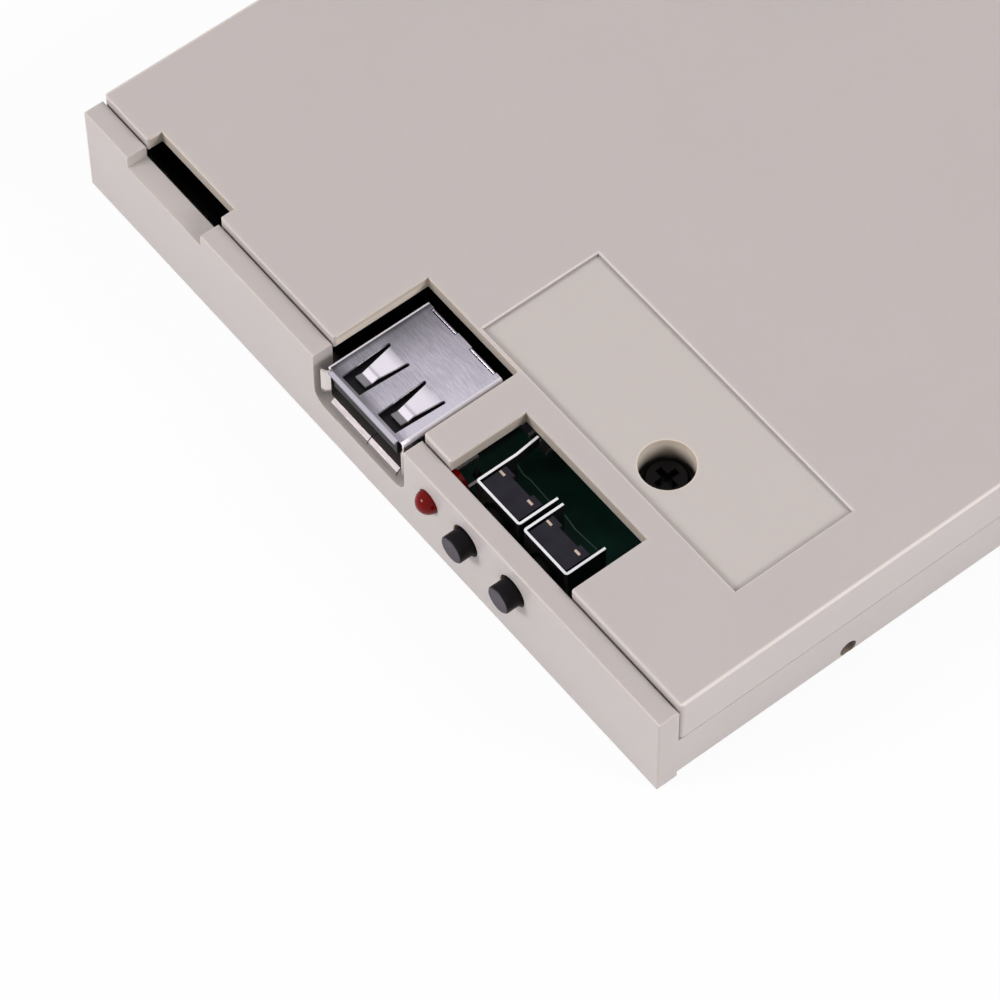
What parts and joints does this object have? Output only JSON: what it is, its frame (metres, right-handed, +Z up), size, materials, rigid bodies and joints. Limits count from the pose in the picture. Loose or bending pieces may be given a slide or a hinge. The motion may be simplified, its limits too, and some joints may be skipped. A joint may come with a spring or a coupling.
{
  "type": "floppy drive emulator",
  "caption": "Slim floppy drive emulator: tray with bezel, notched cover, USB-A receptacle, indicator light and push buttons at the front, pin headers at the rear.",
  "frame": {"origin": "centre of the bounding box at the level of the bezel's lower edge", "axes": "+X to the right seen from the front, +Y from the bezel to the rear, +Z up"},
  "size_m": [0.1016, 0.1282, 0.0143],
  "materials": {
    "case": "fine matte texture",
    "board": "satin green lacquer",
    "nickel": "bright nickel plate",
    "tongue": "satin",
    "contact": "bright",
    "red_lens": "clear tinted gloss",
    "tin": "satin",
    "switch_black": "satin",
    "frame_steel": "bright",
    "copper": "bright",
    "button_black": "satin",
    "block_black": "satin",
    "white": "satin",
    "cap_blue": "satin",
    "epoxy": "matte",
    "can": "satin",
    "ceramic": "matte",
    "screw_black": "black oxide"
  },
  "bodies": {
    "drive": {"lower_tray": "case", "top_cover": "case", "circuit_board": "board", "usb_shell": "nickel", "usb_insulator": "tongue", "usb_contacts": "contact", "indicator_lens": "red_lens", "indicator_leads": "tin", "switch_body_left": "switch_black", "switch_body_right": "switch_black", "switch_frame_left": "frame_steel", "switch_frame_right": "frame_steel", "switch_strips_left": "copper", "switch_strips_right": "copper", "switch_dome_left": "frame_steel", "switch_dome_right": "frame_steel", "data_header": "block_black", "data_pins": "contact", "power_header": "white", "power_pins": "contact", "select_header": "block_black", "select_pins": "contact", "jumper_caps": "cap_blue", "controller_chip": "epoxy", "controller_leads": "tin", "crystal_can": "can", "regulator_chip": "epoxy", "regulator_leads": "tin", "capacitor_cans": "can", "capacitor_bases": "epoxy", "chip_resistors": "epoxy", "chip_capacitors": "ceramic", "chip_ends": "tin", "cover_screw": "screw_black", "board_screws": "tin"},
    "left_button": {"button_left": "button_black"},
    "right_button": {"button_right": "button_black"}
  },
  "joints": [
    {"name": "left_button_press", "type": "slide", "parent": "drive", "child": "left_button", "axis": [0, 1, 0], "range_m": [0, 0.00025], "stiffness_N_per_m": 5000, "springref_m": -0.0001},
    {"name": "right_button_press", "type": "slide", "parent": "drive", "child": "right_button", "axis": [0, 1, 0], "range_m": [0, 0.00025], "stiffness_N_per_m": 5000, "springref_m": -0.0001}
  ]
}
